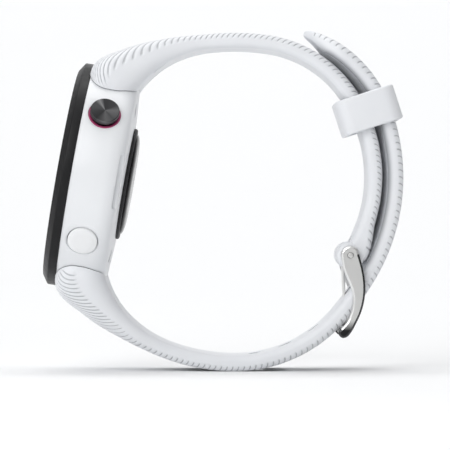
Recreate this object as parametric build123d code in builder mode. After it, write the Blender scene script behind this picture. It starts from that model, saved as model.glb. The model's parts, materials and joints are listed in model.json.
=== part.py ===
from build123d import *
import os
from math import cos, hypot, radians, sin

# GPS running watch, buckled into a closed loop and standing on the lower strap.
# Frame: X runs from the display to the buckle, Y across the strap (-Y is the 3 o'clock
# side), Z up. The origin is below the middle of the whole watch, on the standing surface.
# The watch head leans back, so its parts are drawn on planes parallel to the display:
# local x points to 3 o'clock, local y to 12 o'clock, local z out of the display.

# ---------------------------------------------------------------- driving dimensions
lean = 10.0                      # degrees the head leans back from upright
front_x = -28.43                 # centre of the front face
front_z = 34.75

bezel_radius = 19.75
bezel_depth = 2.5
bezel_face_radius = 18.25        # outer edge of the flat in front
bezel_ledge_radius = 14.45       # inner edge of the ledge under the lens
case_radius = 19.6
case_edge_z = -8.4               # where the wall starts to round towards the back
case_back_z = -11.0              # rim of the case back, below the front face
cover_crown_z = -11.4            # back cover beside the sensor
wall = 1.6
lens_radius = 15.25
lens_low = -1.3
lens_high = -0.05
display_radius = 14.3

sensor_radius = 9.85
sensor_face_z = -12.75           # flat that touches the wrist

button_z = -6.3
button_bore_radius = 2.86
stem_radius = 1.2
stem_bore_radius = 1.25
button_angles = {"start": 34.5, "back": -34.5, "light": 146.0, "up": 180.0, "down": 214.0}
# Distances from the head's axis along a button.
stem_end = 15.9
clip_groove = 16.25
seal_groove = 16.85
pocket_floor = 17.5
shank_end = 18.1
seat_floor = 18.5

# Undersides of the layers inside the head, below the front face.
display_low = -2.5
light_guide_low = -3.0
frame_low = -3.8
board_low = -4.7
shield_low = -5.3
battery_low = -8.9
battery_pad_low = -9.2
buzzer_low = -9.75

strap_width = 18.0
root_width = 24.0
upper_thickness = 2.6
lower_thickness = 2.7
# Centrelines in the XZ plane: start point, heading in degrees, then tangent arcs as
# (radius, turn), where a positive turn is anticlockwise.
upper_start = (-2.4, 57.45)
upper_heading = 6.2
upper_arcs = [(41.5, -14.1), (20.7, -47.0), (25.5, -45.0), (22.7, -26.0)]
lower_start = (-8.6, 3.12)
lower_heading = -18.6
lower_arcs = [(33.9, 18.2), (24.1, 50.2), (53.0, 8.4), (33.5, 54.0), (20.6, 52.4)]
root_gap = 0.05                  # between a strap's root and the case wall

hole_pitch = 6.0
hole_length = 4.4                # across the strap
hole_width = 2.2

pin_x = 22.19                    # buckle pin
pin_z = 20.24
pin_radius = 0.5
pin_clearance = 0.05
barrel_radius = 2.6
tongue_width = 3.4
buckle_inner = 9.3               # half the buckle's inner width
buckle_outer = 10.6
bar_x = 21.3                     # crossbar of the buckle
bar_z = 6.8
bar_radius = 0.75

keeper_x = 25.42
keeper_z = 45.5
keeper_tilt = 18.0
keeper_span = 11.55
keeper_length = 5.35
keeper_opening = 8.5
keeper_shift = 0.2               # the opening sits nearer the outside
keeper_half_width = 10.5
keeper_side_wall = 1.2

os.makedirs("parts", exist_ok=True)


def write(part, name):
    part.label = name
    export_step(part, f"parts/{name}.step")


# ---------------------------------------------------------------- planes of the head
normal = Vector(-cos(radians(lean)), 0, sin(radians(lean)))
head = Plane(origin=(front_x, 0, front_z), x_dir=(0, -1, 0), z_dir=normal)
head_axis = Axis(head.origin, head.z_dir)
profile_plane = Plane(origin=head.origin, x_dir=head.x_dir, z_dir=head.y_dir * -1)


def level(z):
    """Plane parallel to the display, z above the front face."""
    return head.offset(z)


def radial_direction(angle):
    return head.x_dir * cos(radians(angle)) + head.y_dir * sin(radians(angle))


def radial_plane(angle, distance, z):
    """Plane across a radius of the head, facing outwards."""
    direction = radial_direction(angle)
    return Plane(origin=head.origin + direction * distance + head.z_dir * z,
                 x_dir=head.z_dir, z_dir=direction)


# ---------------------------------------------------------------- watch head, outside
lug_bar_y = 20.9
lug_bar_z = -9.9
lug_half_width = 6.0
lug_radius = 1.7
bar_tube_radius = 0.9
screw_ring = 14.6
screw_angles = [62.0, 118.0, 242.0, 298.0]
boss_ring = 15.6
boss_radius = 2.5
cover_radius = 16.85
ledge_radius = 15.9
ledge_z = -9.7


def bar_plane(side, offset=0.0):
    """Plane across a spring bar's axis; side is 1 at 12 o'clock and -1 at 6 o'clock."""
    origin = head.origin + head.y_dir * (side * lug_bar_y) + head.z_dir * lug_bar_z
    return Plane(origin=origin + head.x_dir * offset, x_dir=head.z_dir, z_dir=head.x_dir)


def on_ring(radius, angles):
    """Points on a circle about the head's axis."""
    return [(radius * cos(radians(a)), radius * sin(radians(a))) for a in angles]


inner_radius = case_radius - wall

with BuildPart() as case_shell:
    with BuildSketch(profile_plane):
        with BuildLine():
            Polyline((17.6, case_back_z), (0, case_back_z), (0, -bezel_depth),
                     (case_radius, -bezel_depth), (case_radius - 0.1, case_edge_z))
            ThreePointArc((case_radius - 0.1, case_edge_z), (18.85, -10.2), (17.6, case_back_z))
        make_face()
    revolve(axis=head_axis)
    # central lugs for the strap spring bars
    for side in (1, -1):
        with BuildSketch(bar_plane(side)):
            Circle(lug_radius)
            with Locations((0.6, side * 2.0)):
                Rectangle(2.2, 4.0)
        extrude(amount=lug_half_width, both=True)
    # hollow
    with BuildSketch(profile_plane):
        with BuildLine():
            Polyline((0, 0), (17.2, 0), (17.2, -3.2), (inner_radius, -3.6), (inner_radius, -9.0),
                     (ledge_radius, -9.0), (ledge_radius, ledge_z), (cover_radius + 0.1, ledge_z),
                     (cover_radius + 0.1, -13), (0, -13), close=True)
        make_face()
    revolve(axis=head_axis, mode=Mode.SUBTRACT)
    # bosses for the back screws
    with BuildSketch(level(ledge_z)):
        with Locations(on_ring(boss_ring, screw_angles)):
            Circle(boss_radius)
    extrude(amount=3.5)
    # bosses around the button stems
    for angle in button_angles.values():
        with BuildSketch(radial_plane(angle, 16.6, button_z)):
            Circle(3.1)
        extrude(amount=2.0)
    # screw holes
    with BuildSketch(level(ledge_z - 0.1)):
        with Locations(on_ring(screw_ring, screw_angles)):
            Circle(0.7)
    extrude(amount=3.0, mode=Mode.SUBTRACT)
    # stem bores and cap pockets
    for angle in button_angles.values():
        with BuildSketch(radial_plane(angle, 16.0, button_z)):
            Circle(stem_bore_radius)
        extrude(amount=4, mode=Mode.SUBTRACT)
        with BuildSketch(radial_plane(angle, pocket_floor, button_z)):
            Circle(button_bore_radius)
        extrude(amount=3, mode=Mode.SUBTRACT)
    # spring bar bores through the lugs
    for side in (1, -1):
        with BuildSketch(bar_plane(side)):
            Circle(bar_tube_radius + 0.02)
        extrude(amount=lug_half_width + 1, both=True, mode=Mode.SUBTRACT)
    # pry notch in the back rim at 3 o'clock
    with BuildSketch(radial_plane(0, 17.4, case_back_z)):
        RectangleRounded(1.5, 9.6, 0.6)
    extrude(amount=3, mode=Mode.SUBTRACT)
write(case_shell.part, "case_shell")


def turned(points):
    """A body turned about the head's axis from an (r, z) outline."""
    with BuildPart() as body:
        with BuildSketch(profile_plane):
            with BuildLine():
                Polyline(*points, close=True)
            make_face()
        revolve(axis=head_axis)
    return body.part


def ring(inner, outer, low, high):
    """A flat ring or, with inner = 0, a disc."""
    with BuildPart() as body:
        with BuildSketch(level(low)):
            Circle(outer)
            if inner > 0:
                Circle(inner, mode=Mode.SUBTRACT)
        extrude(amount=high - low)
    return body.part


write(turned([(lens_radius + 0.05, 0), (bezel_face_radius, 0), (bezel_radius, -1.0),
              (bezel_radius, -bezel_depth), (bezel_ledge_radius, -bezel_depth),
              (bezel_ledge_radius, -1.5), (lens_radius + 0.05, -1.5)]), "bezel")
write(turned([(0, lens_low), (lens_radius, lens_low), (lens_radius, lens_high - 0.15),
              (lens_radius - 0.15, lens_high), (0, lens_high)]), "lens")
write(ring(bezel_ledge_radius + 0.05, lens_radius - 0.05, -1.5, lens_low), "lens_gasket")

# ---------------------------------------------------------------- watch head, inside
write(ring(0, display_radius, display_low, lens_low - 0.1), "display_panel")
write(ring(0, display_radius - 0.2, light_guide_low, display_low), "light_guide")
write(ring(16.2, 17.1, -3.15, -2.55), "antenna_ring")

with BuildPart() as inner_frame:
    with BuildSketch(level(frame_low)):
        Circle(16.0)
        with Locations(on_ring(12.5, screw_angles)):
            Circle(1.2, mode=Mode.SUBTRACT)
        RectangleRounded(12, 8, 1.5, mode=Mode.SUBTRACT)
    extrude(amount=0.75)
write(inner_frame.part, "inner_frame")

with BuildPart() as main_board:
    with BuildSketch(level(board_low)):
        Circle(15.8)
        with Locations(on_ring(16.5, button_angles.values())):
            Circle(1.6, mode=Mode.SUBTRACT)
    extrude(amount=0.8)
write(main_board.part, "main_board")

with BuildPart() as shield_cans:
    with BuildSketch(level(shield_low)):
        with Locations((-1.0, 11.0)):
            RectangleRounded(11, 5, 0.5)
        with Locations((-6.5, -10.8)):
            RectangleRounded(5, 4, 0.5)
        with Locations((6.5, -10.8)):
            RectangleRounded(4, 4, 0.5)
    extrude(amount=0.6)
write(shield_cans.part, "shield_cans")

with BuildPart() as battery:
    with BuildSketch(level(battery_low)):
        RectangleRounded(19, 14, 1.2)
    extrude(amount=3.4)
write(battery.part, "battery")

with BuildPart() as battery_pad:
    with BuildSketch(level(battery_pad_low)):
        RectangleRounded(14, 9, 1)
    extrude(amount=battery_low - battery_pad_low)
write(battery_pad.part, "battery_pad")

# coin vibration motor: can, shaft and an eccentric half-disc rotor
motor_y = -11.3
motor_radius = 3.5
motor_low = -8.6
motor_high = -5.8
motor_wall = 0.25

with BuildPart() as motor_can:
    with BuildSketch(level(motor_low)):
        with Locations((0, motor_y)):
            Circle(motor_radius)
    extrude(amount=motor_high - motor_low)
    with BuildSketch(level(motor_low + motor_wall)):
        with Locations((0, motor_y)):
            Circle(motor_radius - motor_wall)
    extrude(amount=motor_high - motor_low - 2 * motor_wall, mode=Mode.SUBTRACT)
write(motor_can.part, "motor_can")

with BuildPart() as motor_shaft:
    with BuildSketch(level(motor_low + motor_wall)):
        with Locations((0, motor_y)):
            Circle(0.4)
    extrude(amount=motor_high - motor_low - 2 * motor_wall)
write(motor_shaft.part, "motor_shaft")

with BuildPart() as motor_rotor:
    with BuildSketch(level(motor_low + 0.6)):
        with Locations((0, motor_y)):
            Circle(motor_radius - 0.55)
        with Locations((0, motor_y + 2.2)):
            Rectangle(7, 3.2, mode=Mode.SUBTRACT)
        with Locations((0, motor_y)):
            Circle(0.9)
            Circle(0.44, mode=Mode.SUBTRACT)
    extrude(amount=1.6)
write(motor_rotor.part, "motor_rotor")

# buzzer disc bonded inside the back cover
with BuildPart() as buzzer:
    with BuildSketch(level(buzzer_low)):
        with Locations((0, 12.4)):
            Circle(2.4)
    extrude(amount=0.4)
write(buzzer.part, "buzzer")

with BuildPart() as button_switches:
    for angle in button_angles.values():
        with BuildSketch(radial_plane(angle, 13.7, button_z)):
            RectangleRounded(2.6, 3.4, 0.3)
        extrude(amount=1.1)
        with BuildSketch(radial_plane(angle, 14.8, button_z)):
            Circle(0.8)
        extrude(amount=0.55)
write(button_switches.part, "button_switches")

# ---------------------------------------------------------------- back of the head
port_x = -12.7
port_width = 3.4
port_length = 8.8
contact_pitch = 2.0
screw_head_radius = 1.15
screw_head_low = -11.05

with BuildPart() as back_cover:
    with BuildSketch(profile_plane):
        with BuildLine():
            Polyline((10.2, cover_crown_z), (9.4, cover_crown_z), (9.4, -9.75), (ledge_radius, -9.75),
                     (ledge_radius, -9.95), (cover_radius, -9.95), (cover_radius, case_back_z))
            ThreePointArc((cover_radius, case_back_z), (13.6, -11.28), (10.2, cover_crown_z))
        make_face()
    revolve(axis=head_axis)
    with BuildSketch(level(-12)):
        with Locations(on_ring(screw_ring, screw_angles)):
            Circle(0.8)
        with Locations((port_x, 0)):
            RectangleRounded(port_width, port_length, 0.8)
    extrude(amount=3, mode=Mode.SUBTRACT)
    with BuildSketch(level(-12)):
        with Locations(on_ring(screw_ring, screw_angles)):
            Circle(screw_head_radius + 0.1)
    extrude(amount=1.5, mode=Mode.SUBTRACT)
write(back_cover.part, "back_cover")

write(ring(ledge_radius + 0.05, cover_radius - 0.05, -9.95, ledge_z), "back_gasket")

with BuildPart() as back_screws:
    with BuildSketch(level(screw_head_low)):
        with Locations(on_ring(screw_ring, screw_angles)):
            Circle(screw_head_radius)
    extrude(amount=0.55)
    with BuildSketch(level(screw_head_low + 0.55)):
        with Locations(on_ring(screw_ring, screw_angles)):
            Circle(0.65)
    extrude(amount=3.4)
    with BuildSketch(level(screw_head_low)):
        with Locations(on_ring(screw_ring, screw_angles)):
            RegularPolygon(0.5, 6)
    extrude(amount=0.35, mode=Mode.SUBTRACT)
write(back_screws.part, "back_screws")

with BuildPart() as charge_block:
    with BuildSketch(level(-10.7)):
        with Locations((port_x, 0)):
            RectangleRounded(port_width - 0.04, port_length - 0.04, 0.78)
    extrude(amount=1.3)
    with BuildSketch(level(-11)):
        with Locations((port_x, 0)):
            with GridLocations(1, contact_pitch, 1, 4):
                Circle(0.5)
    extrude(amount=2, mode=Mode.SUBTRACT)
write(charge_block.part, "charge_block")

with BuildPart() as charge_contacts:
    with BuildSketch(level(-10.95)):
        with Locations((port_x, 0)):
            with GridLocations(1, contact_pitch, 1, 4):
                Circle(0.5)
    extrude(amount=1.8)
write(charge_contacts.part, "charge_contacts")

write(turned([(8.95, -9.75), (9.35, -9.75), (9.35, cover_crown_z - 0.02),
              (sensor_radius, cover_crown_z - 0.02), (sensor_radius, -11.8),
              (9.6, -12.0), (8.95, -12.0)]), "sensor_base")

with BuildPart() as sensor_window:
    with BuildSketch(profile_plane):
        with BuildLine():
            Polyline((6.2, sensor_face_z), (0, sensor_face_z), (0, -11.2), (8.9, -11.2), (8.9, -12.05))
            ThreePointArc((8.9, -12.05), (7.8, -12.6), (6.2, sensor_face_z))
        make_face()
    revolve(axis=head_axis)
write(sensor_window.part, "sensor_window")

write(ring(0, 8.7, -10.1, -9.6), "sensor_board")
write(ring(3.2, 3.8, -11.2, -10.1), "light_barrier")

with BuildPart() as sensor_leds:
    with BuildSketch(level(-10.8)):
        with PolarLocations(1.9, 3):
            RectangleRounded(1.4, 1.2, 0.1)
    extrude(amount=0.7)
write(sensor_leds.part, "sensor_leds")

with BuildPart() as photodiodes:
    with BuildSketch(level(-10.7)):
        with PolarLocations(5.9, 2):
            Rectangle(2.4, 2.8)
    extrude(amount=0.6)
write(photodiodes.part, "photodiodes")

# ---------------------------------------------------------------- buttons
def button_cap(angle, face, head_radius, head_bottom, shank_radius):
    """Cap, shank and stem of one button; distances are from the head's axis."""
    with BuildPart() as cap:
        with BuildSketch(radial_plane(angle, head_bottom, button_z)):
            Circle(head_radius)
        extrude(amount=face - head_bottom)
        chamfer(cap.faces().sort_by(Axis(head.origin, radial_direction(angle)))[-1].edges(), 0.2)
        with BuildSketch(radial_plane(angle, shank_end, button_z)):
            Circle(shank_radius)
        extrude(amount=head_bottom - shank_end + 0.1)
        with BuildSketch(radial_plane(angle, stem_end, button_z)):
            Circle(stem_radius)
        extrude(amount=shank_end - stem_end + 0.1)
        with BuildSketch(radial_plane(angle, seal_groove, button_z)):
            Circle(stem_bore_radius)
            Circle(0.9, mode=Mode.SUBTRACT)
        extrude(amount=0.35, mode=Mode.SUBTRACT)
        with BuildSketch(radial_plane(angle, clip_groove, button_z)):
            Circle(stem_bore_radius)
            Circle(0.8, mode=Mode.SUBTRACT)
        extrude(amount=0.3, mode=Mode.SUBTRACT)
    return cap.part


def stem_seal(angle):
    """Ring seal in the stem's outer groove."""
    with BuildPart() as seal:
        with BuildSketch(radial_plane(angle, seal_groove + 0.02, button_z)):
            Circle(stem_bore_radius - 0.01)
            Circle(0.91, mode=Mode.SUBTRACT)
        extrude(amount=0.31)
    return seal.part


def stem_clip(angle):
    """Open retaining clip in the groove at the stem's inner end."""
    with BuildPart() as clip:
        with BuildSketch(radial_plane(angle, clip_groove + 0.02, button_z)):
            Circle(1.8)
            Circle(0.82, mode=Mode.SUBTRACT)
            with Locations((-1.4, 0)):
                Rectangle(1.6, 1.2, mode=Mode.SUBTRACT)
        extrude(amount=0.26)
    return clip.part


write(button_cap(button_angles["start"], 20.75, 2.53, 19.9, 2.15), "start_button")
for name in ("back", "light", "up", "down"):
    write(button_cap(button_angles[name], 19.85, 2.58, 18.3, 2.3), f"{name}_button")
for name, angle in button_angles.items():
    write(stem_seal(angle), f"{name}_seal")
    write(stem_clip(angle), f"{name}_clip")

with BuildPart() as start_ring:
    with BuildSketch(radial_plane(button_angles["start"], seat_floor, button_z)):
        Circle(button_bore_radius)
        Circle(2.25, mode=Mode.SUBTRACT)
    extrude(amount=0.85)
write(start_ring.part, "start_ring")

with BuildPart() as button_rings:
    for name in ("back", "light", "up", "down"):
        with BuildSketch(radial_plane(button_angles[name], seat_floor, button_z)):
            Circle(button_bore_radius)
            Circle(2.68, mode=Mode.SUBTRACT)
        extrude(amount=0.8)
write(button_rings.part, "button_rings")

# ---------------------------------------------------------------- straps
def shifted(point, heading, shift):
    """The point moved to the left of the heading."""
    return (point[0] - shift * sin(radians(heading)), point[1] + shift * cos(radians(heading)))


def end_of_arc(point, heading, radius, turn):
    """Where a tangent arc ends."""
    side = 1 if turn > 0 else -1
    later = heading + turn
    x = point[0] + side * radius * (sin(radians(later)) - sin(radians(heading)))
    z = point[1] - side * radius * (cos(radians(later)) - cos(radians(heading)))
    return (x, z)


def along(start, heading, arcs, distance):
    """Point and heading at a distance along the centreline."""
    point = start
    for radius, turn in arcs:
        length = radius * abs(radians(turn))
        part_turn = turn * min(1.0, distance / length)
        point, heading = end_of_arc(point, heading, radius, part_turn), heading + part_turn
        distance -= length
        if distance <= 0:
            break
    return point, heading


def arc_chain(start, heading, arcs):
    """Draws the tangent arcs of a centreline."""
    point = start
    for radius, turn in arcs:
        tangent = (cos(radians(heading)), sin(radians(heading)))
        JernArc(start=point, tangent=tangent, radius=radius, arc_size=turn)
        point, heading = end_of_arc(point, heading, radius, turn), heading + turn


# Sections of each root, from inside the case to the start of the band: outer point, inner
# point, width and corner radius.
upper_root = [((-23.5, 46.1), (-15.5, 44.7), 24.4, 3.4),
              ((-22.5, 53.3), (-15.3, 48.1), root_width, 3.4),
              ((-17.0, 56.25), (-12.3, 51.75), 21.8, 2.7),
              ((-10.0, 57.95), (-8.0, 54.6), 19.6, 1.6)]
lower_root = [((-27.65, 22.4), (-19.7, 21.0), 24.4, 3.4),
              ((-29.1, 14.9), (-20.6, 17.4), root_width, 3.4),
              ((-24.0, 9.7), (-18.6, 12.2), 21.8, 2.6),
              ((-17.0, 5.4), (-14.2, 7.5), 19.6, 1.6)]
edge_radius = 1.15
tip_radius = 0.5                 # spring bar tip
tip_reach = 1.6
tool_notch = (2.0, 1.2)


def section_plane(outer, inner):
    """Plane across a strap through its outer and inner faces."""
    across = Vector(outer[0] - inner[0], 0, outer[1] - inner[1])
    middle = ((outer[0] + inner[0]) / 2, 0, (outer[1] + inner[1]) / 2)
    return Plane(origin=middle, x_dir=(0, 1, 0), z_dir=Vector(0, 1, 0).cross(across))


def strap_body(sections, start, heading, arcs, thickness, side):
    """Root and band of a strap, with the cuts that seat it on the case and its spring bar."""
    outer = shifted(start, heading, side * thickness / 2)
    inner = shifted(start, heading, -side * thickness / 2)
    with BuildPart() as body:
        for far, near, width, radius in [*sections, (outer, inner, strap_width, edge_radius)]:
            with BuildSketch(section_plane(far, near)):
                RectangleRounded(width, hypot(far[0] - near[0], far[1] - near[1]), radius)
        loft()
        with BuildSketch(level(2)):
            Circle(case_radius + root_gap)
        extrude(amount=-16, mode=Mode.SUBTRACT)
        with BuildSketch(level(-bezel_depth - root_gap)):
            Circle(bezel_radius + root_gap)
        extrude(amount=bezel_depth, mode=Mode.SUBTRACT)
        with BuildSketch(bar_plane(side)):
            Circle(lug_radius + 0.15)
            with Locations((1.0, side * 2.5)):
                Rectangle(3.4, 5.0)
        extrude(amount=lug_half_width + 0.1, both=True, mode=Mode.SUBTRACT)
        with BuildSketch(bar_plane(side)):
            Circle(tip_radius + 0.05)
        extrude(amount=lug_half_width + tip_reach + 0.2, both=True, mode=Mode.SUBTRACT)
        for edge in (1, -1):
            with BuildSketch(bar_plane(side, edge * (lug_half_width + tip_reach - 0.4))):
                with Locations((-2.5, 0)):
                    RectangleRounded(5.5, tool_notch[0], 0.4)
            extrude(amount=edge * tool_notch[1], mode=Mode.SUBTRACT)
        with BuildLine(Plane.XZ) as centreline:
            arc_chain(start, heading, arcs)
        with BuildSketch(section_plane(outer, inner)):
            RectangleRounded(strap_width, thickness, edge_radius)
        sweep(path=centreline.wires()[0])
    return body.part


with BuildPart() as upper_strap:
    add(strap_body(upper_root, upper_start, upper_heading, upper_arcs, upper_thickness, 1))
    # barrel around the buckle pin, with a gap for the tongue's eye
    with BuildSketch(Plane.XZ):
        with Locations((pin_x, pin_z)):
            Circle(barrel_radius)
        with BuildLine():
            Polyline((24.7, 18.95), (25.9, 22.2), (22.4, 22.4), (21.6, 18.3), close=True)
        make_face()
    extrude(amount=strap_width / 2, both=True)
    with BuildSketch(Plane.XZ):
        with Locations((pin_x, pin_z)):
            Circle(3.4)
    extrude(amount=2.2, both=True, mode=Mode.SUBTRACT)
    with BuildSketch(Plane.XZ):
        with Locations((pin_x, pin_z)):
            Circle(pin_radius)
    extrude(amount=strap_width, both=True, mode=Mode.SUBTRACT)
write(upper_strap.part, "upper_strap")

# path of the tongue, from the buckle pin to the crossbar
tongue_path = [(21.25, 18.0), (21.6, 14.0), (22.15, 8.2), (22.4, 6.0)]
tongue_thickness = 0.5
tip_round = 8.0                  # length of the rounded end
tail_length = sum(radius * abs(radians(turn)) for radius, turn in lower_arcs)
engaged_distance = 32.6          # from the start of the band to the hole in use
hole_numbers = [n for n in range(-3, 8) if n != 0]

with BuildPart() as lower_strap:
    add(strap_body(lower_root, lower_start, lower_heading, lower_arcs, lower_thickness, -1))
    # rounded free end
    tail_end, tail_heading = along(lower_start, lower_heading, lower_arcs, tail_length - tip_round)
    along_tip = Vector(cos(radians(tail_heading)), 0, sin(radians(tail_heading)))
    with BuildSketch(Plane(origin=(tail_end[0], 0, tail_end[1]), x_dir=along_tip,
                           z_dir=along_tip.cross(Vector(0, 1, 0)))):
        with Locations((tip_round, 0)):
            Rectangle(2 * tip_round, strap_width + 2)
        Ellipse(tip_round, strap_width / 2 + 0.01, mode=Mode.SUBTRACT)
    extrude(amount=4, both=True, mode=Mode.SUBTRACT)
    for number in hole_numbers:
        point, heading = along(lower_start, lower_heading, lower_arcs,
                               engaged_distance + number * hole_pitch)
        across = Vector(-sin(radians(heading)), 0, cos(radians(heading)))
        with BuildSketch(Plane(origin=(point[0], 0, point[1]), x_dir=(0, 1, 0), z_dir=across)):
            SlotOverall(hole_length, hole_width)
        extrude(amount=lower_thickness, both=True, mode=Mode.SUBTRACT)
    # the hole in use follows the tongue
    with BuildSketch(Plane.XZ):
        with BuildLine():
            Polyline((21.0, 15.5), (22.6, 15.5), (24.0, 7.6), (23.9, 5.5), (21.75, 5.5), (21.5, 8.4),
                     close=True)
        make_face()
    extrude(amount=hole_length / 2, both=True, mode=Mode.SUBTRACT)
write(lower_strap.part, "lower_strap")

# ---------------------------------------------------------------- spring bars
for side, name in ((1, "upper"), (-1, "lower")):
    with BuildPart() as bar:
        with BuildSketch(bar_plane(side, -lug_half_width + 0.1)):
            Circle(bar_tube_radius)
        extrude(amount=2 * lug_half_width - 0.2)
        with BuildSketch(bar_plane(side, -lug_half_width - tip_reach)):
            Circle(tip_radius)
        extrude(amount=2)
        with BuildSketch(bar_plane(side, lug_half_width - 4)):
            Circle(tip_radius + 0.03)
        extrude(amount=5, mode=Mode.SUBTRACT)
    write(bar.part, f"{name}_spring_bar")
    with BuildPart() as tip:
        with BuildSketch(bar_plane(side, lug_half_width - 2.4)):
            Circle(tip_radius)
        extrude(amount=tip_reach + 2.4)
    write(tip.part, f"{name}_bar_tip")

# ---------------------------------------------------------------- keeper
keeper_plane = Plane(origin=(keeper_x, 0, keeper_z),
                     x_dir=(cos(radians(keeper_tilt)), 0, sin(radians(keeper_tilt))), z_dir=(0, -1, 0))
with BuildPart() as keeper:
    with BuildSketch(keeper_plane):
        RectangleRounded(keeper_span, keeper_length, 0.9)
    extrude(amount=keeper_half_width, both=True)
    with BuildSketch(keeper_plane):
        with Locations((keeper_shift, 0)):
            Rectangle(keeper_opening, keeper_length + 2)
    extrude(amount=keeper_half_width - keeper_side_wall, both=True, mode=Mode.SUBTRACT)
write(keeper.part, "keeper")

# ---------------------------------------------------------------- buckle
arm_outer_edge = [(23.42, 21.04), (24.43, 15.58), (23.6, 10.2), (21.9, 6.6)]
arm_inner_edge = [(20.55, 20.0), (22.05, 15.14), (22.55, 11.55), (20.9, 7.7)]
arm_width = buckle_outer - buckle_inner
arm_head_radius = 1.65

with BuildPart() as buckle_frame:
    for side in (1, -1):
        with BuildSketch(Plane.XZ.offset(side * buckle_inner)):
            with Locations((pin_x, pin_z)):
                Circle(arm_head_radius)
            with BuildLine():
                Spline(*arm_outer_edge)
                Spline(*arm_inner_edge)
                Line(arm_outer_edge[0], arm_inner_edge[0])
                Line(arm_outer_edge[-1], arm_inner_edge[-1])
            make_face()
            with Locations((bar_x, bar_z)):
                Circle(bar_radius + 0.15)
            with Locations((pin_x, pin_z)):
                Circle(pin_radius + pin_clearance, mode=Mode.SUBTRACT)
        extrude(amount=side * arm_width)
    with BuildSketch(Plane.XZ):
        with Locations((bar_x, bar_z)):
            Circle(bar_radius)
    extrude(amount=buckle_inner + 0.2, both=True)
write(buckle_frame.part, "buckle_frame")

with BuildPart() as buckle_pin:
    with BuildSketch(Plane.XZ):
        with Locations((pin_x, pin_z)):
            Circle(pin_radius)
    extrude(amount=buckle_outer, both=True)
write(buckle_pin.part, "buckle_pin")

with BuildPart() as buckle_tongue:
    half = tongue_thickness / 2
    with BuildSketch(Plane.XZ):
        with Locations((pin_x, pin_z)):
            Circle(1.2)
        with BuildLine():
            Polyline(*[(x - half, z) for x, z in tongue_path],
                     *[(x + half, z) for x, z in reversed(tongue_path)],
                     (pin_x - 0.3, pin_z - 0.9), (pin_x - 1.0, pin_z - 0.6), close=True)
        make_face()
        with Locations((pin_x, pin_z)):
            Circle(pin_radius + pin_clearance, mode=Mode.SUBTRACT)
    extrude(amount=tongue_width / 2, both=True)
write(buckle_tongue.part, "buckle_tongue")
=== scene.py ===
import json
import math

import bmesh
import bpy
import numpy as np
from mathutils import Matrix, Vector


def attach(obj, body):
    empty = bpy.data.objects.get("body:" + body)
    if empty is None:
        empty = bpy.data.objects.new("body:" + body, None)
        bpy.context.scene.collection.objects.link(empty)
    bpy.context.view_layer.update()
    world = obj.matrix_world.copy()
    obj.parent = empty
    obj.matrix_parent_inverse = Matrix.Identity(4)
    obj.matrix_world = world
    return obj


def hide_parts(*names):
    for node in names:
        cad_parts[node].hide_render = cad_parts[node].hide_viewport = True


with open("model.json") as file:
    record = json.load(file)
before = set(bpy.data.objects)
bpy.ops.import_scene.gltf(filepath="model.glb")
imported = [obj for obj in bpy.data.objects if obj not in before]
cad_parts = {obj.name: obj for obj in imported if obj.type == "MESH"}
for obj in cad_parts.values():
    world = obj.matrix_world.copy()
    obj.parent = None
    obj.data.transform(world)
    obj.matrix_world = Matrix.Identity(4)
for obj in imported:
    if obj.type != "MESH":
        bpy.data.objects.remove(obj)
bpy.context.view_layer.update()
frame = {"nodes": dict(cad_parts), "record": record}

# Lengths in this script are written in millimetres and turned into metres by MM.
MM = 0.001

# ------------------------------------------------------------------ driving dimensions
LEAN = math.radians(10)                  # the head leans back from upright
FRONT = np.array([-28.43, 0.0, 34.75])   # centre of the front face
HEAD_X = np.array([0.0, -1.0, 0.0])      # towards 3 o'clock
HEAD_Y = np.array([math.sin(LEAN), 0.0, math.cos(LEAN)])    # towards 12 o'clock
HEAD_Z = np.array([-math.cos(LEAN), 0.0, math.sin(LEAN)])   # out of the display

BEZEL_RADIUS = 19.75
BEZEL_DEPTH = 2.5
CASE_RADIUS = 19.6
CASE_BACK = -11.0
COVER_CROWN = -11.4
SENSOR_FACE = -12.75
LENS_RADIUS = 15.25
COVER_RADIUS = 16.85

BUTTON_Z = -6.3
BUTTON_ANGLES = {"start": 34.5, "back": -34.5, "light": 146.0, "up": 180.0, "down": 214.0}
POCKET_RADIUS = 2.86
POCKET_FLOOR = 17.5
STEM_RADIUS = 1.2

SCREW_RING = 14.6
SCREW_ANGLES = (62.0, 118.0, 242.0, 298.0)
PORT_X = -12.7

STRAP_WIDTH = 18.0
ROOT_WIDTH = 24.0
PIN = np.array([22.19, 20.24])           # buckle pin, x and z
PIN_RADIUS = 0.5
BAR = np.array([21.3, 6.8])              # crossbar of the buckle
BAR_RADIUS = 0.75
BUCKLE_INNER = 9.3
BUCKLE_OUTER = 10.6

GROOVE_PITCH = 1.03
GROOVE_DEPTH = 0.13


# ------------------------------------------------------------------ mesh helpers
def head_point(x, y, z):
    """A point given in the head's own axes, in the row frame, in millimetres."""
    return FRONT + HEAD_X * x + HEAD_Y * y + HEAD_Z * z


def in_scene(name, data):
    """A new object with the data, linked into the scene."""
    obj = bpy.data.objects.new(name, data)
    bpy.context.scene.collection.objects.link(obj)
    return obj


def clean_mesh(mesh, distance):
    """Merges vertices closer than the distance, in metres, and turns the faces outward."""
    clean = bmesh.new()
    clean.from_mesh(mesh)
    bmesh.ops.remove_doubles(clean, verts=clean.verts, dist=distance)
    bmesh.ops.recalc_face_normals(clean, faces=clean.faces)
    clean.to_mesh(mesh)
    clean.free()


def make_object(name, vertices, faces, material, smooth_angle=35.0):
    """A mesh object from millimetre vertices, shaded smooth up to an angle."""
    mesh = bpy.data.meshes.new(name)
    mesh.from_pydata([tuple(float(c) * MM for c in v) for v in vertices], [], faces)
    mesh.update()
    clean_mesh(mesh, 1e-7)
    shade(mesh, smooth_angle)
    obj = in_scene(name, mesh)
    obj.data.materials.append(material)
    return obj


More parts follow.
